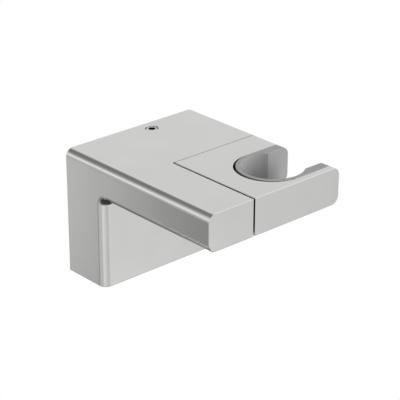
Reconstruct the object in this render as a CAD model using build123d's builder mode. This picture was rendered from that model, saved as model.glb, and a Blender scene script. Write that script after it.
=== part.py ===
from build123d import *
import math
import os

# Hand shower holder for a wall: a cast arm on a leg, with a tilting cradle let into the arm's corner.
# Lengths are in millimetres. X runs along the wall, the room lies towards -Y and Z is up.
# The origin is on the wall, in the middle of the body's back.

# Body: the arm and the leg, cast in one piece
body_width = 65.0
body_height = 51.1
arm_length = 80.4
arm_thickness = 14.7
leg_depth = 21.5
edge_radius = 3.25
inner_corner_radius = 2.4
edge_break = 0.25

# Cradle: the block that tilts, flush with the arm's right side, front, top and underside
arm_left_width = 21.35
side_gap = 0.8
seat_radius = 10.5
seat_clearance = 0.15

# Slot in the cradle, open to the right
front_wall = 2.9
back_wall = 12.7
slot_half_width = 13.9
slot_reach = 19.1

# Liner: the grey moulding in the slot, which the shower's cone rests in
liner_clearance = 0.05
liner_shift = 1.2
bore_radius = 12.1
bore_from_side = 17.9
bore_behind_slot = 0.2
mouth_half_width = 9.7
liner_edge_break = 0.15
rib_height = 3.0
rib_depth = 0.8
rib_clearance = 0.1
rib_from_side = 4.0
rib_length = 12.0

# Pocket in the body's back, which the wall plate fills
pocket_side_wall = 5.0
pocket_top_wall = 6.0
pocket_bottom_wall = 4.5
pocket_front_wall = 4.0
pocket_corner_radius = 3.0

# Wall plate and the gasket behind it
gasket_thickness = 1.0
gasket_setback = 0.5
plate_thickness = 3.0
plate_side_clearance = 0.4
ledge_depth = 9.0
ledge_thickness = 5.0
ledge_drop = 0.8
ledge_setback = 5.0
ledge_fillet = 1.5
wall_screw_spacing = 36.0
wall_screw_hole_radius = 2.6

# Set screw that clamps the body on the wall plate
set_screw_diameter = 5.0
set_screw_key = 2.5
set_screw_right = 5.7
set_screw_from_wall = 5.2
set_screw_sink = 0.3
set_screw_tip_radius = 0.6
set_screw_bite = 1.0
hole_break = 0.2

# Pivot pin, its bush, its seal and the washer in the gap
pin_diameter = 6.0
pin_in_cradle = 20.0
pin_end_clearance = 0.4
pin_chamfer = 0.5
pin_fit_clearance = 0.02
pin_running_clearance = 0.05
bush_wall = 1.0
bush_fit_clearance = 0.02
bore_end_wall = 4.0
washer_outer_radius = 6.0
washer_recess = 1.0
washer_clearance = 0.05
seal_section = 1.5
seal_room = 0.1
seal_clearance = 0.02

# The two small screws under the arm: the keeper holds the pin in the body, the other locks it in the cradle
small_screw_diameter = 4.0
small_screw_key = 2.0
small_screw_sink = 0.4
small_screw_point_radius = 1.25
small_screw_end_gap = 0.2
keeper_from_gap = 9.0
lock_from_gap = 10.5
lock_dimple_depth = 0.8
tilt_range = 30.0
travel_slot_floor_radius = 1.6
point_clearance = 0.05
thread_clearance = 0.05
socket_depth = 2.0
screw_chamfer = 0.4

# Places worked out from the sizes above
half_width = body_width / 2
top = body_height / 2
bottom = -body_height / 2
underside = top - arm_thickness
front = -arm_length
gap_face = -half_width + arm_left_width
cradle_left = gap_face + side_gap
slot_y = front + front_wall + slot_half_width
bore_y = slot_y + bore_behind_slot
seam_y = slot_y + slot_half_width + back_wall
pivot_z = top - arm_thickness / 2
pivot_y = seam_y - math.sqrt(seat_radius**2 - (arm_thickness / 2) ** 2)
past = 1.0

pocket_depth = leg_depth - pocket_front_wall
pocket_width = body_width - 2 * pocket_side_wall
pocket_top = top - pocket_top_wall
pocket_bottom = bottom + pocket_bottom_wall

plate_width = pocket_width - 2 * plate_side_clearance
plate_front = gasket_thickness + plate_thickness
plate_corner_radius = pocket_corner_radius + plate_side_clearance
ledge_top = pocket_top - ledge_drop
plate_height = ledge_top - pocket_bottom
plate_middle = (ledge_top + pocket_bottom) / 2
set_screw_y = -set_screw_from_wall

pin_radius = pin_diameter / 2
bush_bore = pin_radius + pin_running_clearance
bush_outer_radius = bush_bore + bush_wall
seal_radius = bush_bore + seal_section
seal_recess = washer_recess + seal_section + 2 * seal_room
bush_start = gap_face - seal_recess
bore_end = -half_width + bore_end_wall
keeper_x = gap_face - keeper_from_gap
lock_x = cradle_left + lock_from_gap
small_hole_radius = small_screw_diameter / 2 + thread_clearance


def side_edges_to_round(part, side):
    """The edges of one side face that are rounded: all but those at the wall, the front and the bottom."""
    chosen = part.edges().filter_by_position(Axis.X, side, side)
    for axis, place in ((Axis.Y, 0), (Axis.Y, front), (Axis.Z, bottom)):
        chosen = chosen - part.edges().filter_by_position(axis, place, place)
    return chosen


def grub_screw(end, rises, diameter, length, point_start, point_tip, point_length, key):
    """A headless screw from its socket end to its point, which is a cone or a plain dog."""
    way = 1 if rises else -1
    with BuildPart() as screw:
        with BuildSketch(Plane(end, x_dir=(1, 0, 0), z_dir=(0, -way, 0))):
            with BuildLine():
                Polyline(
                    (0, 0),
                    (diameter / 2 - screw_chamfer, 0),
                    (diameter / 2, screw_chamfer),
                    (diameter / 2, length),
                    (0, length),
                    close=True,
                )
            make_face()
            with BuildLine():
                Polyline(
                    (0, length),
                    (point_start, length),
                    (point_tip, length + point_length),
                    (0, length + point_length),
                    close=True,
                )
            make_face()
        revolve(axis=Axis(end, (0, 0, 1)))
        with BuildSketch(Plane(end, z_dir=(0, 0, way))):
            RegularPolygon(radius=key / 2, side_count=6, major_radius=False)
        extrude(amount=socket_depth, mode=Mode.SUBTRACT)
    return screw.part


# Body
with BuildPart() as body:
    with BuildSketch(Plane.YZ.offset(-half_width)) as side_view:
        with BuildLine():
            Polyline(
                (0, top),
                (front, top),
                (front, underside),
                (-leg_depth, underside),
                (-leg_depth, bottom),
                (0, bottom),
                close=True,
            )
        make_face()
        inner_corner = side_view.vertices().sort_by_distance((-leg_depth, underside, 0))[0]
        fillet(inner_corner, radius=inner_corner_radius)
    extrude(amount=body_width)
    rounded = side_edges_to_round(body, -half_width) + side_edges_to_round(body, half_width)
    fillet(rounded, radius=edge_radius)

    # The corner that the cradle takes, with a round seat behind the pivot
    with BuildSketch(Plane.YZ.offset(gap_face)):
        with Locations((pivot_y, pivot_z)):
            Circle(seat_radius + seat_clearance)
            Rectangle(arm_length, arm_thickness + 2 * past, align=(Align.MAX, Align.CENTER))
    extrude(amount=body_width, mode=Mode.SUBTRACT)

    # The pocket in the back
    with BuildSketch(Plane.XZ):
        with Locations((0, (pocket_top + pocket_bottom) / 2)):
            RectangleRounded(pocket_width, pocket_top - pocket_bottom, pocket_corner_radius)
    extrude(amount=pocket_depth, mode=Mode.SUBTRACT)

    # The threaded hole for the set screw
    with Locations((set_screw_right, set_screw_y, top)):
        Hole(set_screw_diameter / 2 + thread_clearance, depth=pocket_top_wall + past)

    # The pivot's bore, stepped for the washer, the seal and the bush
    pivot_steps = (
        (washer_outer_radius + washer_clearance, washer_recess),
        (seal_radius, seal_recess),
        (bush_outer_radius + bush_fit_clearance, gap_face - bore_end),
    )
    for step_radius, step_depth in pivot_steps:
        with BuildSketch(Plane.YZ.offset(gap_face)):
            with Locations((pivot_y, pivot_z)):
                Circle(step_radius)
        extrude(amount=-step_depth, mode=Mode.SUBTRACT)

    # The threaded hole for the screw that keeps the pin
    with BuildSketch(Plane.XY.offset(underside)):
        with Locations((keeper_x, pivot_y)):
            Circle(small_hole_radius)
    extrude(amount=arm_thickness / 2, mode=Mode.SUBTRACT)

    # Broken edges round the arm's front, along the gap, round the leg's bottom and at the set screw's hole
    front_edges = body.edges().filter_by_position(Axis.Y, front, front)
    gap_edges = body.edges().filter_by_position(Axis.X, gap_face, gap_face).filter_by(Axis.Y)
    bottom_edges = body.edges().filter_by_position(Axis.Z, bottom, bottom)
    bottom_edges = bottom_edges - body.edges().filter_by_position(Axis.Y, 0, 0)
    fillet(front_edges + gap_edges + bottom_edges, radius=edge_break)
    rim = body.edges().filter_by(GeomType.CIRCLE).filter_by_position(Axis.Z, top, top)
    chamfer(rim, length=hole_break)
body.part.label = "body"

# Gasket between the wall plate and the wall
with BuildPart() as wall_gasket:
    with BuildSketch(Plane.XZ):
        with Locations((0, plate_middle)):
            RectangleRounded(
                plate_width - 2 * gasket_setback,
                plate_height - 2 * gasket_setback,
                plate_corner_radius,
            )
        with GridLocations(wall_screw_spacing, 0, 2, 1):
            Circle(wall_screw_hole_radius, mode=Mode.SUBTRACT)
    extrude(amount=gasket_thickness)
wall_gasket.part.label = "wall_gasket"

# Wall plate, with the ledge that the set screw presses on
with BuildPart() as wall_plate:
    with BuildSketch(Plane.XZ.offset(gasket_thickness)):
        with Locations((0, plate_middle)):
            RectangleRounded(plate_width, plate_height, plate_corner_radius)
    extrude(amount=plate_thickness)
    with BuildSketch(Plane.XZ.offset(plate_front)):
        with Locations((0, ledge_top)):
            Rectangle(
                plate_width - 2 * ledge_setback,
                ledge_thickness,
                align=(Align.CENTER, Align.MAX),
            )
    extrude(amount=ledge_depth)
    ledge_root = (
        wall_plate.edges()
        .filter_by(Axis.X)
        .filter_by_position(Axis.Y, -plate_front, -plate_front)
        .filter_by_position(Axis.Z, ledge_top - ledge_thickness, ledge_top - ledge_thickness)
    )
    fillet(ledge_root, radius=ledge_fillet)
    with BuildSketch(Plane.XZ):
        with GridLocations(wall_screw_spacing, 0, 2, 1):
            Circle(wall_screw_hole_radius)
    extrude(amount=plate_front, mode=Mode.SUBTRACT)
    with Locations((set_screw_right, set_screw_y, ledge_top)):
        Cone(
            set_screw_tip_radius + point_clearance,
            set_screw_tip_radius + set_screw_bite + 2 * point_clearance,
            set_screw_bite + point_clearance,
            align=(Align.CENTER, Align.CENTER, Align.MAX),
            mode=Mode.SUBTRACT,
        )
wall_plate.part.label = "wall_plate"

# Set screw, seen in the arm's top: its cone seats in the ledge's dimple
set_screw_cone = set_screw_diameter / 2 - set_screw_tip_radius
set_screw_end = top - set_screw_sink
body_set_screw = grub_screw(
    end=(set_screw_right, set_screw_y, set_screw_end),
    rises=False,
    diameter=set_screw_diameter,
    length=set_screw_end - (ledge_top - set_screw_bite + set_screw_cone),
    point_start=set_screw_diameter / 2,
    point_tip=set_screw_tip_radius,
    point_length=set_screw_cone,
    key=set_screw_key,
)
body_set_screw.label = "body_set_screw"

# Cradle
with BuildPart() as cradle:
    with BuildSketch(Plane.YZ.offset(cradle_left)):
        with BuildLine():
            Polyline((seam_y, underside), (front, underside), (front, top), (seam_y, top))
            ThreePointArc((seam_y, top), (pivot_y + seat_radius, pivot_z), (seam_y, underside))
        make_face()
    extrude(amount=half_width - cradle_left)
    right_edges = cradle.edges().group_by(Axis.X)[-1].filter_by(Axis.Y)
    fillet(right_edges, radius=edge_radius)

    # The slot, and the groove in its straight walls that the liner's ribs snap into
    with BuildSketch(Plane.XY.offset(underside)):
        with Locations((half_width - slot_reach, slot_y)):
            Circle(slot_half_width)
            Rectangle(slot_reach + past, 2 * slot_half_width, align=(Align.MIN, Align.CENTER))
    extrude(amount=arm_thickness, mode=Mode.SUBTRACT)
    with BuildSketch(Plane.XY.offset(pivot_z - rib_height / 2 - rib_clearance)):
        with Locations((half_width - rib_from_side + rib_clearance, slot_y)):
            Rectangle(
                rib_length + 2 * rib_clearance,
                2 * (slot_half_width + rib_depth + rib_clearance),
                align=(Align.MAX, Align.CENTER),
            )
    extrude(amount=rib_height + 2 * rib_clearance, mode=Mode.SUBTRACT)

    # The pin's bore and the threaded hole for the screw that locks it
    with BuildSketch(Plane.YZ.offset(cradle_left)):
        with Locations((pivot_y, pivot_z)):
            Circle(pin_radius + pin_fit_clearance)
    extrude(amount=pin_in_cradle + pin_end_clearance, mode=Mode.SUBTRACT)
    with BuildSketch(Plane.XY.offset(underside)):
        with Locations((lock_x, pivot_y)):
            Circle(small_hole_radius)
    extrude(amount=arm_thickness / 2, mode=Mode.SUBTRACT)

    # Broken edges round the front and along the gap
    front_edges = cradle.edges().filter_by_position(Axis.Y, front, front)
    gap_edges = cradle.edges().filter_by_position(Axis.X, cradle_left, cradle_left).filter_by(Axis.Y)
    fillet(front_edges + gap_edges, radius=edge_break)
cradle.part.label = "cradle"

# Liner
with BuildPart() as cradle_liner:
    with BuildSketch(Plane.XY.offset(underside)):
        with Locations((half_width - slot_reach + liner_shift, slot_y)):
            Circle(slot_half_width - liner_clearance)
            Rectangle(
                slot_reach - liner_shift,
                2 * (slot_half_width - liner_clearance),
                align=(Align.MIN, Align.CENTER),
            )
    extrude(amount=arm_thickness)
    end_edges = cradle_liner.edges().group_by(Axis.X)[-1].filter_by(Axis.Y)
    fillet(end_edges, radius=edge_radius)
    with BuildSketch(Plane.XY.offset(underside)):
        with Locations((half_width - bore_from_side, bore_y)):
            Circle(bore_radius)
            Rectangle(bore_from_side + past, 2 * mouth_half_width, align=(Align.MIN, Align.CENTER))
    extrude(amount=arm_thickness, mode=Mode.SUBTRACT)
    bore_edges = cradle_liner.edges().filter_by(GeomType.CIRCLE)
    bore_edges = bore_edges.filter_by(lambda edge: abs(edge.radius - bore_radius) < point_clearance)
    mouth_edges = cradle_liner.edges().filter_by(Axis.X)
    mouth_edges = mouth_edges.filter_by(
        lambda edge: abs(abs(edge.center().Y - bore_y) - mouth_half_width) < point_clearance
    )
    chamfer(bore_edges + mouth_edges, length=liner_edge_break)
    with BuildSketch(Plane.XY.offset(pivot_z - rib_height / 2)):
        for side in (-1, 1):
            with Locations((half_width - rib_from_side, slot_y + side * slot_half_width)):
                Rectangle(
                    rib_length,
                    2 * rib_depth,
                    align=(Align.MAX, Align.CENTER),
                )
    extrude(amount=rib_height)
cradle_liner.part.label = "cradle_liner"

# Pivot pin, with the slot that the keeper travels in and the dimple for the lock screw
with BuildPart() as pivot_pin:
    with BuildSketch(Plane.YZ.offset(cradle_left + pin_in_cradle)):
        with Locations((pivot_y, pivot_z)):
            Circle(pin_radius)
    extrude(amount=-(cradle_left + pin_in_cradle - bore_end - pin_end_clearance))
    chamfer(pivot_pin.edges(), length=pin_chamfer)
    cutter_radius = small_screw_point_radius + point_clearance
    with BuildSketch(Plane.YZ.offset(keeper_x - cutter_radius)):
        with BuildLine():
            middle, first, turn = (pivot_y, pivot_z), -90 - tilt_range, 2 * tilt_range
            outer = CenterArc(middle, pin_radius + past, first, turn)
            inner = CenterArc(middle, travel_slot_floor_radius, first, turn)
            Line(outer @ 0, inner @ 0)
            Line(outer @ 1, inner @ 1)
        make_face()
    extrude(amount=2 * cutter_radius, mode=Mode.SUBTRACT)
    for angle in (-90 - tilt_range, -90 + tilt_range):
        outwards = (0, math.cos(math.radians(angle)), math.sin(math.radians(angle)))
        with BuildSketch(Plane((keeper_x, pivot_y, pivot_z), z_dir=outwards).offset(travel_slot_floor_radius)):
            Circle(cutter_radius)
        extrude(amount=pin_radius, mode=Mode.SUBTRACT)
    with BuildSketch(Plane.XY.offset(pivot_z - pin_radius + lock_dimple_depth)):
        with Locations((lock_x, pivot_y)):
            Circle(cutter_radius)
    extrude(amount=-pin_radius, mode=Mode.SUBTRACT)
pivot_pin.part.label = "pivot_pin"

# Bush that the pin turns in
with BuildPart() as pivot_bush:
    with BuildSketch(Plane.YZ.offset(bush_start)):
        with Locations((pivot_y, pivot_z)):
            Circle(bush_outer_radius)
            Circle(bush_bore, mode=Mode.SUBTRACT)
    extrude(amount=-(bush_start - bore_end))
    with BuildSketch(Plane.XY.offset(pivot_z)):
        with Locations((keeper_x, pivot_y)):
            Circle(small_screw_point_radius + point_clearance)
    extrude(amount=-arm_thickness / 2, mode=Mode.SUBTRACT)
pivot_bush.part.label = "pivot_bush"

# Seal on the pin, between the bush and the washer: a ring of square section, cut from a rubber tube
with BuildPart() as pivot_seal:
    with BuildSketch(Plane.YZ.offset(gap_face - washer_recess - seal_room)):
        with Locations((pivot_y, pivot_z)):
            Circle(seal_radius - seal_clearance)
            Circle(bush_bore, mode=Mode.SUBTRACT)
    extrude(amount=-seal_section)
pivot_seal.part.label = "pivot_seal"

# Washer that the cradle slides on, in the gap
with BuildPart() as gap_washer:
    with BuildSketch(Plane.YZ.offset(gap_face - washer_recess)):
        with Locations((pivot_y, pivot_z)):
            Circle(washer_outer_radius)
            Circle(bush_bore, mode=Mode.SUBTRACT)
    extrude(amount=washer_recess + side_gap - washer_clearance)
gap_washer.part.label = "gap_washer"

# Keeper screw in the arm's underside: its dog runs in the pin's slot and stops the tilt
small_screw_end = underside + small_screw_sink
keeper_thread_top = pivot_z - bush_outer_radius - small_screw_end_gap
pin_keeper_screw = grub_screw(
    end=(keeper_x, pivot_y, small_screw_end),
    rises=True,
    diameter=small_screw_diameter,
    length=keeper_thread_top - small_screw_end,
    point_start=small_screw_point_radius,
    point_tip=small_screw_point_radius,
    point_length=pivot_z - travel_slot_floor_radius - small_screw_end_gap - keeper_thread_top,
    key=small_screw_key,
)
pin_keeper_screw.label = "pin_keeper_screw"

# Lock screw in the cradle's underside: its dog holds the pin so that both turn together
lock_thread_top = pivot_z - pin_radius - small_screw_end_gap
pin_lock_screw = grub_screw(
    end=(lock_x, pivot_y, small_screw_end),
    rises=True,
    diameter=small_screw_diameter,
    length=lock_thread_top - small_screw_end,
    point_start=small_screw_point_radius,
    point_tip=small_screw_point_radius,
    point_length=small_screw_end_gap + lock_dimple_depth - point_clearance,
    key=small_screw_key,
)
pin_lock_screw.label = "pin_lock_screw"

os.makedirs("parts", exist_ok=True)
export_step(body.part, "parts/body.step")
export_step(wall_gasket.part, "parts/wall_gasket.step")
export_step(wall_plate.part, "parts/wall_plate.step")
export_step(body_set_screw, "parts/body_set_screw.step")
export_step(cradle.part, "parts/cradle.step")
export_step(cradle_liner.part, "parts/cradle_liner.step")
export_step(pivot_pin.part, "parts/pivot_pin.step")
export_step(pivot_bush.part, "parts/pivot_bush.step")
export_step(pivot_seal.part, "parts/pivot_seal.step")
export_step(gap_washer.part, "parts/gap_washer.step")
export_step(pin_keeper_screw, "parts/pin_keeper_screw.step")
export_step(pin_lock_screw, "parts/pin_lock_screw.step")
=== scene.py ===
# %% [markdown]
# # A hand shower holder in satin metal
#
# The holder is an arm on a leg, cast in one piece and fixed to the wall, with a cradle at the arm's
# corner that tilts and takes the shower's cone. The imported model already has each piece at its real
# size. What is left for this lesson is the look: the camera, a small photo studio, the finish of every
# piece, and the threads of its screws.

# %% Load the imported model
import bmesh
import bpy
import math
from mathutils import Matrix, Vector


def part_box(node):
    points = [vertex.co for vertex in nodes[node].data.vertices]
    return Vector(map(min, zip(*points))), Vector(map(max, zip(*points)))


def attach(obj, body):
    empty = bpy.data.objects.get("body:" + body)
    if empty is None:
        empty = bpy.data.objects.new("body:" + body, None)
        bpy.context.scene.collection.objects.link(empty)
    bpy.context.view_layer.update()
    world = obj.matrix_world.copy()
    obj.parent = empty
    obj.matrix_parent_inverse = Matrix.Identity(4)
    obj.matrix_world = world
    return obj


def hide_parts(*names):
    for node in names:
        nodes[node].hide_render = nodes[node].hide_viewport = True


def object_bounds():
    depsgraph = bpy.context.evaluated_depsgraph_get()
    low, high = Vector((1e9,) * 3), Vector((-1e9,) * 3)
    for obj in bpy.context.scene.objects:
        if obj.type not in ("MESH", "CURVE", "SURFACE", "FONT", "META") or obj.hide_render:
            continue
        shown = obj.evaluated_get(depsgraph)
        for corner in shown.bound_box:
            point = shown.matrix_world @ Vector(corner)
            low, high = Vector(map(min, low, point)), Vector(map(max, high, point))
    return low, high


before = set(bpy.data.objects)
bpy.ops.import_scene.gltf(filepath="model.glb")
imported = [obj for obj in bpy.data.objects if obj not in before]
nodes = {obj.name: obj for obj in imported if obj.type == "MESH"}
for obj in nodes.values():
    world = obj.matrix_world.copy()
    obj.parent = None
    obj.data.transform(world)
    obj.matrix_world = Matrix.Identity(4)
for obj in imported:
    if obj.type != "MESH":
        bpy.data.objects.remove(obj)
cad_low, cad_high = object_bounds()
mm = 0.001
print("pieces:", ", ".join(sorted(nodes)))

# %% [markdown]
# ## The camera
#
# The photograph was taken with a long lens from the upper left, so the holder's edges hardly close in on
# each other. A camera could be placed by eye, but then nothing would line up with the photograph. These
# values were found by fitting the holder's straight edges to it, in the same frame as the model, with
# the wall at Y = 0: where the camera stands, which way it looks and how long its lens is.

# %% Camera
camera_place = Vector((-366.4, -445.9, 256.9)) * mm
camera_azimuth = -42.05
camera_elevation = 24.46
camera_roll = 0.1
camera_lens = 143.2
nearest_seen = 50 * mm

camera_data = bpy.data.cameras.new("camera")
camera_data.lens = camera_lens
camera_data.clip_start = nearest_seen
camera = bpy.data.objects.new("camera", camera_data)
bpy.context.scene.collection.objects.link(camera)
camera.location = camera_place
turned = Matrix.Rotation(math.radians(camera_azimuth), 4, "Z")
raised = Matrix.Rotation(math.radians(90 - camera_elevation), 4, "X")
rolled = Matrix.Rotation(math.radians(camera_roll), 4, "Z")
camera.rotation_euler = (turned @ raised @ rolled).to_euler()
bpy.context.scene.camera = camera
bpy.context.scene.view_settings.view_transform = "Standard"
print("camera to wall:", round(-camera_place.y, 3), "m")

# %% [markdown]
# ## Helpers for materials
#
# A material in Blender is a small graph of nodes. The helpers below keep the cells short: one turns the
# hex value of a colour, as a designer writes it, to the linear values that the shader wants, by the
# standard sRGB curve. One adds a node of any kind with its settings and links in a single call, and one
# starts an empty material.

# %% Colours and nodes


def colour(hex_value):
    """An sRGB hex value as linear red, green, blue and alpha."""
    parts = [int(hex_value[place:place + 2], 16) / 255 for place in (1, 3, 5)]
    linear = [part / 12.92 if part <= 0.04045 else ((part + 0.055) / 1.055) ** 2.4 for part in parts]
    return (*linear, 1.0)


def add(tree, kind, links=None, settings=None, **options):
    """Adds a node: options are its properties, settings fill its sockets, links join them to others."""
    node = tree.nodes.new(kind)
    for name, value in options.items():
        setattr(node, name, value)
    for socket, value in (settings or {}).items():
        node.inputs[socket].default_value = value
    for socket, source in (links or {}).items():
        tree.links.new(source, node.inputs[socket])
    return node


def new_material(name):
    """An empty material with its output node, which is returned with the graph."""
    material = bpy.data.materials.new(name)
    material.use_nodes = True
    material.node_tree.nodes.clear()
    output = material.node_tree.nodes.new("ShaderNodeOutputMaterial")
    return material, material.node_tree, output


print("#808080 is", round(colour("#808080")[0], 3), "in linear values")

# %% [markdown]
# ## The studio
#
# Satin metal has almost no colour of its own: what the eye reads as metal is the room, softly mirrored.
# The holder was photographed in a white room, so wherever a face mirrors the room its own colour shows
# just as it is written here. Its rounded edges look crisp because dark cards stood out of the picture:
# an edge that mirrors a card draws a dark line. A picture of a studio, wrapped round the scene, could
# give that too, but here each line in the metal comes from one thing that can be moved by itself. So the
# room is plain white to the camera and to mirror rays, and softly lit for matt surfaces.

# %% White room
room_light = 0.07
pure_white = colour("#FFFFFF")


def sees_white(tree):
    """A value that is 1 for camera, mirror and glass rays, and 0 for rays that light matt surfaces."""
    rays = add(tree, "ShaderNodeLightPath").outputs
    seen_or_mirrored = add(
        tree,
        "ShaderNodeMath",
        {0: rays["Is Camera Ray"], 1: rays["Is Glossy Ray"]},
        operation="ADD",
    )
    any_of_three = add(
        tree,
        "ShaderNodeMath",
        {0: seen_or_mirrored.outputs[0], 1: rays["Is Transmission Ray"]},
        operation="ADD",
        use_clamp=True,
    )
    return any_of_three.outputs[0]


world = bpy.data.worlds.new("white_room")
world.use_nodes = True
room = world.node_tree
room.nodes.clear()
soft_white = add(room, "ShaderNodeBackground", settings={"Color": pure_white, "Strength": room_light})
plain_white = add(room, "ShaderNodeBackground", settings={"Color": pure_white, "Strength": 1.0})
room_mix = add(
    room,
    "ShaderNodeMixShader",
    {0: sees_white(room), 1: soft_white.outputs[0], 2: plain_white.outputs[0]},
)
add(room, "ShaderNodeOutputWorld", {"Surface": room_mix.outputs[0]})
bpy.context.scene.world = world
print("the room lights matt surfaces at", room_light)

# %% [markdown]
# The floor is far below, as under a fitting on a wall, so no shadow of the holder reaches the picture.
# To the camera and to mirrors it is as white as the room. To matt surfaces it is a pale floor that
# passes light back up. One white paint for both would be simpler, but in this soft light it looks grey.

# %% Floor
floor_height = -1.2
floor_reach = 6.0


def sheet(name, across, along, place):
    """A flat sheet in its own object, with its place in its mesh and a map from corner to corner."""
    made = bmesh.new()
    made.loops.layers.uv.new("sheet")
    bmesh.ops.create_grid(made, x_segments=1, y_segments=1, size=0.5, calc_uvs=True)
    bmesh.ops.scale(made, vec=(across, along, 1), verts=made.verts)
    bmesh.ops.transform(made, matrix=place, verts=made.verts)
    mesh = bpy.data.meshes.new(name)
    made.to_mesh(mesh)
    made.free()
    stage_sheet = bpy.data.objects.new(name, mesh)
    bpy.context.scene.collection.objects.link(stage_sheet)
    print(name, "is", round(across, 2), "by", round(along, 2), "m")
    return stage_sheet


floor_paint, tree, output = new_material("pale_floor_paint")
pale = add(tree, "ShaderNodeBsdfDiffuse", settings={"Color": colour("#E6E6E4")})
white = add(tree, "ShaderNodeEmission", settings={"Color": pure_white, "Strength": 1.0})
floor_mix = add(
    tree,
    "ShaderNodeMixShader",
    {0: sees_white(tree), 1: pale.outputs[0], 2: white.outputs[0]},
)
tree.links.new(floor_mix.outputs[0], output.inputs["Surface"])
floor = sheet("floor", 2 * floor_reach, 2 * floor_reach, Matrix.Translation((0, 0, floor_height)))
floor.data.materials.append(floor_paint)

# %% [markdown]
# A card is a flat sheet that glows at its own shade. It could be a painted board under a lamp, but then
# its shade would depend on the lamp, and here a shade is one number. A card's place is a direction seen
# from the holder, its size is an angle, and its edges fade, so that nothing hard shows in the metal.

# %% A card
holder_middle = (cad_low + cad_high) / 2


def direction(azimuth, elevation):
    """The way from the holder to a place at this azimuth, from +Y towards +X, and elevation."""
    a, e = math.radians(azimuth), math.radians(elevation)
    return Vector((math.sin(a) * math.cos(e), math.cos(a) * math.cos(e), math.sin(e)))


def facing(azimuth, elevation, distance):
    """The place of a thing that stands in a direction, at a distance, and faces the holder."""
    away = direction(azimuth, elevation)
    turn = away.to_track_quat("Z", "Y").to_matrix().to_4x4()
    return Matrix.Translation(holder_middle + away * distance) @ turn


def card(name, shade, azimuth, elevation, across, along, fade=0.3, distance=1.6):
    """A card as bright as its shade, where 1 is white. It fades over a share of its size at each edge."""
    paint, tree, output = new_material(name)
    spot = add(tree, "ShaderNodeSeparateXYZ", {"Vector": add(tree, "ShaderNodeTexCoord").outputs["UV"]})
    edges = []
    for axis in ("X", "Y"):
        off_centre = add(
            tree,
            "ShaderNodeMath",
            {0: spot.outputs[axis]},
            {1: 0.5},
            operation="SUBTRACT",
        )
        aside = add(tree, "ShaderNodeMath", {0: off_centre.outputs[0]}, operation="ABSOLUTE")
        faded = add(
            tree,
            "ShaderNodeMapRange",
            {"Value": aside.outputs[0]},
            {"From Min": 0.5, "From Max": 0.5 - fade},
            interpolation_type="SMOOTHSTEP",
        )
        edges.append(faded.outputs[0])
    cover = add(tree, "ShaderNodeMath", {0: edges[0], 1: edges[1]}, operation="MULTIPLY")
    clear = add(tree, "ShaderNodeBsdfTransparent")
    glow = add(tree, "ShaderNodeEmission", settings={"Color": pure_white, "Strength": shade})
    shown = add(
        tree,
        "ShaderNodeMixShader",
        {0: cover.outputs[0], 1: clear.outputs[0], 2: glow.outputs[0]},
    )
    tree.links.new(shown.outputs[0], output.inputs["Surface"])
    width, height = (2 * distance * math.tan(math.radians(size / 2)) for size in (across, along))
    made = sheet(name, width, height, facing(azimuth, elevation, distance))
    made.data.materials.append(paint)
    made.visible_camera = False


# %% [markdown]
# The cards and softboxes stand where the metal mirrors them. Each direction is the way the camera looks,
# turned about a surface: the arm's left side, for instance, mirrors a place to the left behind the
# holder and a little below it. Dark cards over and beside the holder draw the dark line of the arm's
# upper left edge and shade its left side, and those below darken the lower edges and the inner corner.
# Softboxes are cards brighter than white, and draw the light lines beside the dark ones.

# %% Cards and softboxes
# Each call gives the name, the shade, the azimuth and elevation, and the degrees across and along.
card("card_over_edge", 0.27, -11, 40, 59, 59)
card("card_by_left_side", 0.67, -54, -6, 42, 47)
card("dark_strip_left", 0.23, -47.5, -32.6, 14.8, 42.6, fade=0.15, distance=1.5)
card("card_low_by_leg", 0.2, -31.5, -31, 13, 7.5, fade=0.4, distance=1.45)
card("card_left", 0.81, -84.5, -25, 48, 60, distance=1.7)
card("card_front", 0.83, -180, -25, 36, 50)
card("card_right_front", 0.72, 120, -25.6, 26.6, 50)
card("card_below_arm", 0.12, 10, -45, 75, 15, distance=1.55)
card("card_low_left", 0.06, -78, -49, 46, 30, fade=0.12, distance=1.65)
card("card_under", 0.06, -171, -85, 98, 89, fade=0.12, distance=1.0)
card("softbox_left_front", 1.23, -126.5, -22, 25, 60)
card("softbox_left", 1.52, -46, 12, 28, 14.7)
card("softbox_over_top", 1.21, 27, 40, 24.5, 15, fade=0.4, distance=1.5)
card("softbox_front", 2.0, 108, 48, 50, 26)
card("softbox_low_front", 1.22, 143.5, -33, 25, 21, fade=0.4, distance=1.5)

# %% [markdown]
# The liner and the rubber are matt, so the room and the cards say little about them. Two large lamps,
# one low in front and one overhead, give them their light and soft shade. Stronger light from the room
# would be simpler, but it comes from all sides and would leave the liner's bore flat.

# %% Lamps


def lamp(name, azimuth, elevation, distance, across, brightness):
    """A square lamp for the matt pieces, hidden from mirror rays, because metal mirrors the softboxes.

    A flat surface that glows evenly gives, in watts, its brightness times pi and its area.
    """
    lamp_data = bpy.data.lights.new(name, "AREA")
    lamp_data.size = across
    lamp_data.energy = brightness * math.pi * across**2
    made = bpy.data.objects.new(name, lamp_data)
    bpy.context.scene.collection.objects.link(made)
    made.matrix_world = facing(azimuth, elevation, distance)
    made.visible_camera = False
    made.visible_glossy = False
    print(name, "gives", round(lamp_data.energy, 1), "W")


# Each call gives the name, the azimuth and elevation, the distance and size in metres, and the brightness.
lamp("low_front_lamp", 158, 14, 1.6, 0.7, 16.2)
lamp("overhead_lamp", 180, 86, 1.6, 1.6, 1.55)

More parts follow.
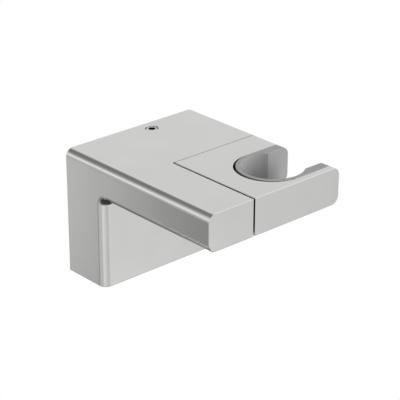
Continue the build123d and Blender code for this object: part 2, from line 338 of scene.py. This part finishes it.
# %% [markdown]
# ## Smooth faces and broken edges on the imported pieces
#
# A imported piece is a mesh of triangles. Two things make it read as a cast and plated part. Light must
# run over its rounded edges without facets, and no edge may be perfectly sharp, because blasting and
# plating leave each one with a tiny radius that catches light. The mesh could be rebuilt for that, but
# modifiers do it without touching the mesh: Weld joins the triangles, Decimate turns flat areas back to
# single faces, Bevel breaks the sharp edges and Weighted Normal keeps flat faces flat.

# %% Edge finish
weld_reach = 0.001 * mm
flat_within = math.radians(0.5)
sharp_from = math.radians(35)
bevel_steps = 2
large_face_weight = 100


def finish_edges(node, edge_radius):
    """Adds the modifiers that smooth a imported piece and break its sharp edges."""
    piece = nodes[node]
    weld = piece.modifiers.new("weld", "WELD")
    weld.merge_threshold = weld_reach
    flatten = piece.modifiers.new("flat faces", "DECIMATE")
    flatten.decimate_type = "DISSOLVE"
    flatten.angle_limit = flat_within
    bevel = piece.modifiers.new("broken edges", "BEVEL")
    bevel.width = edge_radius
    bevel.segments = bevel_steps
    bevel.limit_method = "ANGLE"
    bevel.angle_limit = sharp_from
    bevel.miter_outer = "MITER_ARC"
    bevel.harden_normals = False
    normals = piece.modifiers.new("flat shading", "WEIGHTED_NORMAL")
    normals.keep_sharp = False
    normals.weight = large_face_weight


def dress(node, material, edge_radius):
    """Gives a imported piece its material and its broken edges."""
    nodes[node].material_slots[0].material = material
    finish_edges(node, edge_radius)
    print(node, "is", material.name, "with edges of", round(edge_radius / mm, 2), "mm")


# %% [markdown]
# ## Blasted and plated zinc
#
# The body and the cradle are cast, ground flat, blasted with fine glass beads and plated. The blasting
# leaves pits of a tenth of a millimetre that blur the mirror image evenly in every direction, which is
# what sets this finish apart from brushing. One even roughness would blur as much, but it looks like a
# grey film. So a noise of the pits' size varies the gloss and the surface a little, and a second, broad
# noise lets the tone drift. The plating is a cool grey with a trace of warmth. The pits are too fine
# for the picture, so they are drawn about three times as coarse, and very shallow.

# %% Satin plating
# Nearly all of a noise lies between these two values.
noise_low = 0.3
noise_high = 0.7
mark_detail = 2.0
mark_bump = 0.05
cloud_spacing = 14 * mm
cloud_detail = 3.0


def metal(name, darker, lighter, smoother, rougher, grain, relief, clouds=cloud_spacing, bare=1.0):
    """A metal whose grain has a size along X, Y and Z, and whose tone drifts from place to place.

    The value of bare is 1 for bare metal and 0 for the socket's painted shade, which is not metal.
    """
    material, tree, output = new_material(name)
    place = add(tree, "ShaderNodeTexCoord").outputs["Object"]
    stretched = add(tree, "ShaderNodeMapping", {"Vector": place}, {"Scale": [1 / size for size in grain]})
    marks = add(
        tree,
        "ShaderNodeTexNoise",
        {"Vector": stretched.outputs[0]},
        {"Scale": 1.0, "Detail": mark_detail},
    )
    drift = add(
        tree,
        "ShaderNodeTexNoise",
        {"Vector": place},
        {"Scale": 1 / clouds, "Detail": cloud_detail},
    )
    tone = add(tree, "ShaderNodeValToRGB", {"Fac": drift.outputs["Fac"]})
    tone.color_ramp.elements[0].position = noise_low
    tone.color_ramp.elements[0].color = colour(darker)
    tone.color_ramp.elements[1].position = noise_high
    tone.color_ramp.elements[1].color = colour(lighter)
    gloss = add(
        tree,
        "ShaderNodeMapRange",
        {"Value": marks.outputs["Fac"]},
        {"From Min": noise_low, "From Max": noise_high, "To Min": smoother, "To Max": rougher},
    )
    bumps = add(
        tree,
        "ShaderNodeBump",
        {"Height": marks.outputs["Fac"]},
        {"Strength": mark_bump, "Distance": relief},
    )
    surface = add(
        tree,
        "ShaderNodeBsdfPrincipled",
        {
            "Base Color": tone.outputs["Color"],
            "Roughness": gloss.outputs["Result"],
            "Normal": bumps.outputs["Normal"],
        },
        {"Metallic": bare},
    )
    tree.links.new(surface.outputs["BSDF"], output.inputs["Surface"])
    return material


pit = 0.3 * mm
plating = metal(
    "bead_blasted_plated_zinc",
    "#C5C5C3",
    "#C8C8C6",
    smoother=0.21,
    rougher=0.23,
    grain=(pit, pit, pit),
    relief=0.01 * mm,
)
plated_edge = 0.12 * mm
dress("body", plating, plated_edge)
dress("cradle", plating, plated_edge)

# %% [markdown]
# ## Moulded acetal
#
# The liner is moulded in acetal, a tough and slippery plastic, coloured grey right through. Its mould was
# spark eroded, so its skin is matt with a fine, even grain, and shines only faintly at low angles. Light
# under the skin could be added, as for wax, but acetal this grey lets none in, so the shader's plain
# surface is right. The bush and the washer on the pin are the same plastic, coloured black.

# %% Grey and black acetal
grain_spacing = 0.25 * mm
grain_detail = 3.0
grain_low = 0.35
grain_high = 0.65
grain_bump = 0.2
grain_relief = 0.02 * mm
gloss_spread = 0.04
acetal_ior = 1.48


def moulded_plastic(name, darker, lighter, roughness):
    """A plastic with the matt grain of a spark-eroded mould."""
    material, tree, output = new_material(name)
    place = add(tree, "ShaderNodeTexCoord").outputs["Object"]
    grain = add(
        tree,
        "ShaderNodeTexNoise",
        {"Vector": place},
        {"Scale": 1 / grain_spacing, "Detail": grain_detail},
    )
    tone = add(tree, "ShaderNodeValToRGB", {"Fac": grain.outputs["Fac"]})
    tone.color_ramp.elements[0].position = grain_low
    tone.color_ramp.elements[0].color = colour(darker)
    tone.color_ramp.elements[1].position = grain_high
    tone.color_ramp.elements[1].color = colour(lighter)
    gloss = add(
        tree,
        "ShaderNodeMapRange",
        {"Value": grain.outputs["Fac"]},
        {
            "From Min": noise_low,
            "From Max": noise_high,
            "To Min": roughness - gloss_spread,
            "To Max": roughness + gloss_spread,
        },
    )
    relief = add(
        tree,
        "ShaderNodeBump",
        {"Height": grain.outputs["Fac"]},
        {"Strength": grain_bump, "Distance": grain_relief},
    )
    plastic = add(
        tree,
        "ShaderNodeBsdfPrincipled",
        {
            "Base Color": tone.outputs["Color"],
            "Roughness": gloss.outputs["Result"],
            "Normal": relief.outputs["Normal"],
        },
        {"IOR": acetal_ior},
    )
    tree.links.new(plastic.outputs["BSDF"], output.inputs["Surface"])
    return material


grey_acetal = moulded_plastic("moulded_grey_acetal", "#949494", "#9A9A9A", roughness=0.45)
black_acetal = moulded_plastic("moulded_black_acetal", "#171717", "#1D1D1D", roughness=0.35)
liner_edge = 0.15 * mm
bearing_edge = 0.1 * mm
dress("cradle_liner", grey_acetal, liner_edge)
dress("pivot_bush", black_acetal, bearing_edge)
dress("gap_washer", black_acetal, bearing_edge)

# %% [markdown]
# ## Plate with zinc plating
#
# The plate at the wall is a steel plate with a thicker ledge along its top, which the set screw presses
# on, and it is zinc plated. Zinc from the bath is bluish and cloudy, and softer in its shine than the
# body. Only the plate's rim shows, round the gasket, and that only before the holder is fixed. The
# helper for the satin plating does here too, with a coarser grain and smaller clouds.

# %% Zinc-plated plate
zinc_grain = 0.5 * mm
zinc_clouds = 5 * mm
zinc = metal(
    "zinc_plated_steel",
    "#A4A9AE",
    "#BCC1C5",
    smoother=0.3,
    rougher=0.42,
    grain=(zinc_grain, zinc_grain, zinc_grain),
    relief=0.03 * mm,
    clouds=zinc_clouds,
)
plate_edge = 0.1 * mm
dress("wall_plate", zinc, plate_edge)

# %% [markdown]
# ## Ground pin
#
# The pin is stainless steel, ground between two wheels, which leaves fine rings round its axis. They
# could be cut in the mesh, but they are far too fine for that. So they are a noise that is short along
# the pin, on X, and long across it. Real rings are finer than the picture can show, so these are drawn
# about five times as coarse.

# %% Stainless pin
ring_width = 0.12 * mm
ring_length = 2.0 * mm
ground_steel = metal(
    "ground_stainless_steel",
    "#B4B3B0",
    "#BCBBB8",
    smoother=0.2,
    rougher=0.3,
    grain=(ring_width, ring_length, ring_length),
    relief=0.02 * mm,
)
pin_edge = 0.1 * mm
dress("pivot_pin", ground_steel, pin_edge)

# %% [markdown]
# ## Rubber
#
# The gasket is die-cut from a sheet of closed-cell foam rubber. Cutting opens its cells, so its skin has
# small round pits half a millimetre across. A noise would give cloudy spots, so a Voronoi pattern draws
# them, because it has one round cell beside the next. Each pit is a dent with painted shade in its
# middle. The seal on the pin is moulded, and nearly smooth.

# %% Gasket and seal
# A pit is painted darker in its middle, as shade, and lighter from this share of its cell outwards.
pit_rim = 0.6
pit_bump = 0.4
rubber_ior = 1.52


def rubber(name, darker, lighter, roughness, cell, relief):
    """Black rubber with round pits of a given size. Its carbon filling makes it dull and a little grey."""
    material, tree, output = new_material(name)
    place = add(tree, "ShaderNodeTexCoord").outputs["Object"]
    cells = add(tree, "ShaderNodeTexVoronoi", {"Vector": place}, {"Scale": 1 / cell}, feature="SMOOTH_F1")
    # The tone is painted shade: darker towards each pit's middle.
    tone = add(tree, "ShaderNodeValToRGB", {"Fac": cells.outputs["Distance"]})
    tone.color_ramp.elements[0].color = colour(darker)
    tone.color_ramp.elements[1].position = pit_rim
    tone.color_ramp.elements[1].color = colour(lighter)
    pits = add(
        tree,
        "ShaderNodeBump",
        {"Height": cells.outputs["Distance"]},
        {"Strength": pit_bump, "Distance": relief},
    )
    skin = add(
        tree,
        "ShaderNodeBsdfPrincipled",
        {"Base Color": tone.outputs["Color"], "Normal": pits.outputs["Normal"]},
        {"Roughness": roughness, "IOR": rubber_ior},
    )
    tree.links.new(skin.outputs["BSDF"], output.inputs["Surface"])
    return material


foam = rubber(
    "die_cut_foam_rubber", "#141414", "#262626", roughness=0.85, cell=0.5 * mm, relief=0.1 * mm
)
nitrile = rubber(
    "moulded_nitrile_rubber", "#161616", "#1C1C1C", roughness=0.5, cell=0.2 * mm, relief=0.01 * mm
)
gasket_edge = 0.2 * mm
seal_edge = 0.15 * mm
dress("wall_gasket", foam, gasket_edge)
dress("pivot_seal", nitrile, seal_edge)

# %% [markdown]
# ## Threads
#
# The three screws are headless, with a hexagon socket in one end and a point at the other. In the packed
# model their threads are plain cylinders, which is enough for fit and motion. A thread could be drawn as
# bump in the material, but then the screw's mesh would stay a smooth rod. Here it is one ridge of the
# standard shape, swept round the axis by a spin that also rises. The turns are joined where they meet,
# cut to length with planes, and drawn in to the screw's outline, so that the thread runs out into the
# chamfer and the point as on a real one.

# %% Thread
# The ridge's sizes are shares of the pitch, as the metric standard has them.
thread_depth = 0.6134
crest_width = 0.125
flank_width = 0.354
turn_steps = 36
# A screw is made in millimetres, and corners nearer to each other than this are one.
touching = 0.0005


def swept_thread(radius, pitch, length):
    """The skin of a thread in millimetres, as a mesh that still runs past both ends of the screw."""
    made = bmesh.new()
    root = radius - thread_depth * pitch
    root_half = (1 - crest_width - 2 * flank_width) * pitch / 2
    crest_start = root_half + flank_width * pitch
    ridge = (
        (root, 0),
        (root, root_half),
        (radius, crest_start),
        (radius, crest_start + crest_width * pitch),
        (root, pitch - root_half),
        (root, pitch),
    )
    points = [made.verts.new((out, 0, height - pitch)) for out, height in ridge]
    lines = [made.edges.new(pair) for pair in zip(points, points[1:])]
    turns = math.ceil(length / pitch) + 2
    bmesh.ops.spin(
        made,
        geom=points + lines,
        cent=(0, 0, 0),
        axis=(0, 0, 1),
        dvec=(0, 0, pitch / turn_steps),
        angle=2 * math.pi * turns,
        steps=turn_steps * turns,
        use_merge=False,
        use_duplicate=False,
    )
    bmesh.ops.remove_doubles(made, verts=made.verts, dist=touching)
    print("a thread of", turns, "turns with a pitch of", pitch, "mm")
    return made


def reach_at(height, outline):
    """How far the outline lets the screw reach from its axis at a height."""
    for (low_height, low_reach), (high_height, high_reach) in zip(outline, outline[1:]):
        if height <= high_height:
            share = (height - low_height) / (high_height - low_height)
            return low_reach + share * (high_reach - low_reach)
    return outline[-1][1]


def draw_in(made, outline):
    """Cuts the thread at each height of the outline, ends it there, and keeps it inside the outline."""
    heights = [height for height, _ in outline]
    for height in heights:
        bmesh.ops.bisect_plane(
            made,
            geom=made.verts[:] + made.edges[:] + made.faces[:],
            dist=touching,
            plane_co=(0, 0, height),
            plane_no=(0, 0, 1),
            clear_inner=height == heights[0],
            clear_outer=height == heights[-1],
        )
    for vertex in made.verts:
        reach = vertex.co.xy.length
        allowed = reach_at(vertex.co.z, outline)
        if reach > allowed:
            vertex.co.xy *= allowed / reach


# %% [markdown]
# ## Sockets
#
# The socket is pressed with a hexagonal punch after a hole is drilled for it. Its mouth has a small
# chamfer, and the drill leaves a cone at the bottom. A boolean cut could make it, but here the mesh is
# open at that end already. So a hexagon is laid in the opening, the ring between the two is filled, and
# the hexagon is extruded inwards three times: for the chamfer, for the walls and for the cone.

# %% Socket
mouth_chamfer = 0.15
drill_cone = 0.5
socket_depth = 2.0
cuts_in_side = 5


def socket_corner(key):
    """How far a hexagon's corners are from its axis, from its key size across the flats."""
    return key / math.sqrt(3)


def press_socket(made, key, turn):
    """Joins the screw's end to a hexagon, turned by an angle, and sinks the socket from there."""
    corner = socket_corner(key)
    mouth = corner + mouth_chamfer
    rim = [edge for edge in made.edges if edge.is_boundary and max(v.co.z for v in edge.verts) < touching]
    turned_key = Matrix.Rotation(math.radians(turn), 4, "Z")
    bmesh.ops.create_circle(made, segments=6, radius=mouth, matrix=turned_key)
    sides = [edge for edge in made.edges if edge.is_wire]
    bmesh.ops.subdivide_edges(made, edges=sides, cuts=cuts_in_side)
    ring = [edge for edge in made.edges if edge.is_wire]
    bmesh.ops.triangle_fill(made, edges=rim + ring, use_beauty=True)
    steps = (
        (corner / mouth, mouth_chamfer),
        (1, socket_depth - mouth_chamfer),
        (0, drill_cone),
    )
    for narrowing, drop in steps:
        grown = bmesh.ops.extrude_edge_only(made, edges=ring)["geom"]
        corners = {part for part in grown if isinstance(part, bmesh.types.BMVert)}
        new_edges = [part for part in grown if isinstance(part, bmesh.types.BMEdge)]
        ring = [edge for edge in new_edges if set(edge.verts) <= corners]
        bmesh.ops.scale(made, vec=(narrowing, narrowing, 1), verts=list(corners))
        bmesh.ops.translate(made, vec=(0, 0, drop), verts=list(corners))
    print("a socket for a key of", key, "mm,", socket_depth, "mm deep")


# %% [markdown]
# ## The screws' steel
#
# The screws are turned from stainless bar, and left as they come from the lathe, which gives them fine
# rings round their axis and a dull, pale shine. As on the pin the rings are a stretched noise, here short
# along Z. Real ones are finer, so these are drawn as coarse as they need to show. A socket's inside is
# painted shade: nearly black, not metal and matt in patches, so that it reads as a dark recess.

# %% Turned steel and the socket's painted shade
lathe_mark = 0.1 * mm
lathe_sweep = 1.5 * mm
turned_steel = metal(
    "turned_stainless_steel",
    "#CBCAC7",
    "#D4D3D0",
    smoother=0.42,
    rougher=0.54,
    grain=(lathe_sweep, lathe_sweep, lathe_mark),
    relief=0.02 * mm,
)
# Painted shade for the socket's inside: nearly black, not metal, with patches of this size.
socket_shade_patch = 0.4 * mm
socket_shade_steel = metal(
    "painted_shade_socket_steel",
    "#121110",
    "#1E1C1A",
    smoother=0.6,
    rougher=0.8,
    grain=(socket_shade_patch, socket_shade_patch, socket_shade_patch),
    relief=0.03 * mm,
    bare=0.0,
)
print("the screws are", turned_steel.name, "with", socket_shade_steel.name)

# %% [markdown]
# ## The screws
#
# The set screw stands in the arm's top with its socket up, and its cone presses on the plate's ledge. The
# keeper and the lock screw go in from below, and end in a dog, a short pin that runs in the pivot pin's
# slot or sits in its dimple. The lengths and places could be typed again, but they are read from the
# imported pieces, so that the two can't disagree.

# %% Set screw, keeper and lock screw
end_chamfer = 0.4
thread_runout = 0.05
# The slot of the socket's painted shade.
socket_shade_slot = 1


def socket_screw(name, node, body, pitch, key, turn, point, socket_up):
    """A headless screw in place of a packed one, on a body.

    Its point gives the radius where it starts, the radius where it ends, and its length.
    """
    low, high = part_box(node)
    radius = (high.x - low.x) / 2 / mm
    length = (high.z - low.z) / mm
    point_start, point_end, point_length = point
    outline = (
        (0, radius - end_chamfer),
        (end_chamfer, radius),
        (length - point_length - thread_runout, radius),
        (length - point_length, point_start),
        (length, point_end),
    )
    made = swept_thread(radius, pitch, length)
    draw_in(made, outline)
    far_end = length - touching
    tip = [edge for edge in made.edges if edge.is_boundary and min(v.co.z for v in edge.verts) > far_end]
    bmesh.ops.holes_fill(made, edges=tip, sides=0)
    press_socket(made, key, turn)
    bmesh.ops.remove_doubles(made, verts=made.verts, dist=touching)
    bmesh.ops.recalc_face_normals(made, faces=made.faces)
    # Faces inside the socket take the second material, painted shade that keeps the recess dark.
    for face in made.faces:
        middle = face.calc_center_median()
        sunk = touching < middle.z < socket_depth + drill_cone
        if sunk and middle.xy.length < socket_corner(key) + mouth_chamfer:
            face.material_index = socket_shade_slot
    upright = Matrix.Rotation(math.pi, 4, "X") if socket_up else Matrix.Identity(4)
    end = Vector(((low.x + high.x) / 2, (low.y + high.y) / 2, high.z if socket_up else low.z))
    in_place = Matrix.Translation(end) @ upright @ Matrix.Scale(mm, 4)
    bmesh.ops.transform(made, matrix=in_place, verts=made.verts)
    mesh = bpy.data.meshes.new(name)
    made.to_mesh(mesh)
    open_edges = sum(edge.is_boundary for edge in made.edges)
    print(name, "has", len(made.faces), "faces,", open_edges, "open edges")
    made.free()
    mesh.materials.append(turned_steel)
    mesh.materials.append(socket_shade_steel)
    mesh.shade_smooth()
    mesh.set_sharp_from_angle(angle=sharp_from)
    screw = bpy.data.objects.new(name, mesh)
    bpy.context.scene.collection.objects.link(screw)
    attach(screw, body)
    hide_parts(node)


socket_screw(
    "threaded_set_screw",
    "body_set_screw",
    "holder",
    pitch=0.8,
    key=2.5,
    turn=12,
    point=(2.5, 0.6, 1.9),
    socket_up=True,
)
socket_screw(
    "threaded_keeper_screw",
    "pin_keeper_screw",
    "holder",
    pitch=0.7,
    key=2.0,
    turn=10,
    point=(1.25, 1.25, 2.45),
    socket_up=False,
)
socket_screw(
    "threaded_lock_screw",
    "pin_lock_screw",
    "tilting_cradle",
    pitch=0.7,
    key=2.0,
    turn=35,
    point=(1.25, 1.25, 0.95),
    socket_up=False,
)
